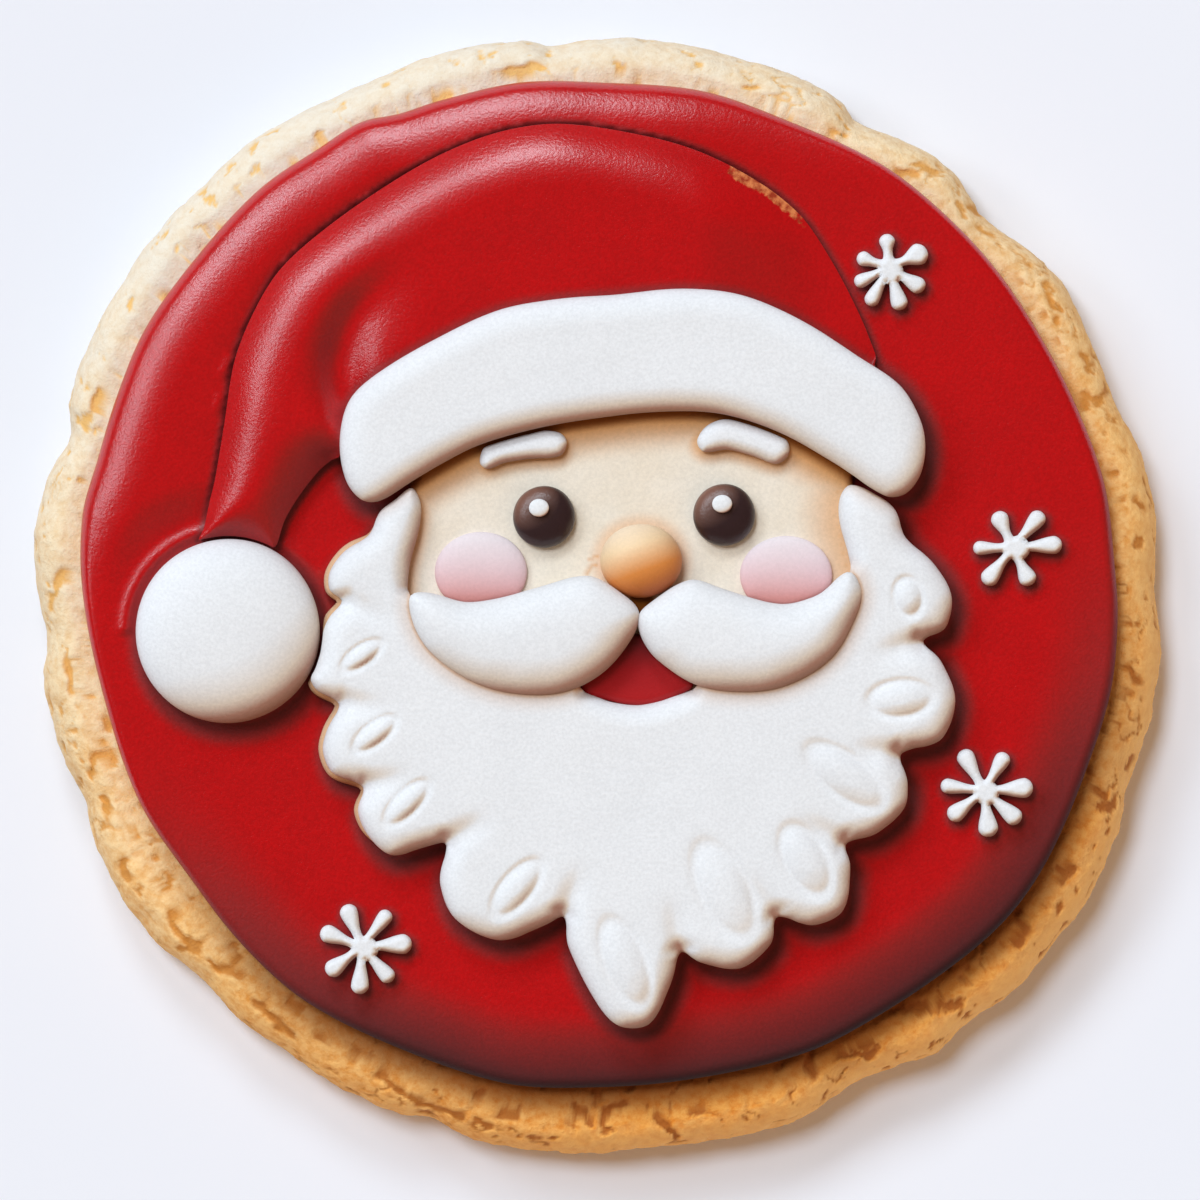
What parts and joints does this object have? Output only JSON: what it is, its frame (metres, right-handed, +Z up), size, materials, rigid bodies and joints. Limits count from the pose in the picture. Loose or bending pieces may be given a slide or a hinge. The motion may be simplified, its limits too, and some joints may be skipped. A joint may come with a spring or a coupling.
{
  "type": "iced sugar cookie",
  "caption": "Round sugar biscuit iced as a bearded winter face in a red hat with a white brim, to rest flat on a plate or table.",
  "frame": {"origin": "middle of the biscuit's outline, on its flat base", "axes": "+Z up through the icing, +Y to the top of the hat, +X to the face's right as seen from above"},
  "size_m": [0.0999, 0.099, 0.0181],
  "materials": {
    "baked_dough": "baked dough, crackled and matte, pale on top and browned at the sides",
    "red_icing": "red icing, satin with a fine grain",
    "white_icing": "white icing, matte with a fine grain",
    "tan_icing": "tan icing, matte, browned where it meets its neighbours",
    "pink_icing": "pale pink icing, matte",
    "brown_icing": "dark brown icing with a soft shine",
    "orange_icing": "golden orange icing with a soft shine"
  },
  "bodies": {
    "root": {"biscuit": "baked_dough", "red_sheet": "red_icing", "hat": "red_icing", "head": "tan_icing", "hat_brim": "white_icing", "beard": "white_icing", "moustache_left": "white_icing", "moustache_right": "white_icing", "mouth": "red_icing", "cheek_left": "pink_icing", "cheek_right": "pink_icing", "brow_left": "white_icing", "brow_right": "white_icing", "pompom": "white_icing", "nose": "orange_icing", "eye_left": "brown_icing", "eye_right": "brown_icing", "eye_glint_left": "white_icing", "eye_glint_right": "white_icing", "snowflake_1": "white_icing", "snowflake_2": "white_icing", "snowflake_3": "white_icing", "snowflake_4": "white_icing"}
  },
  "joints": []
}
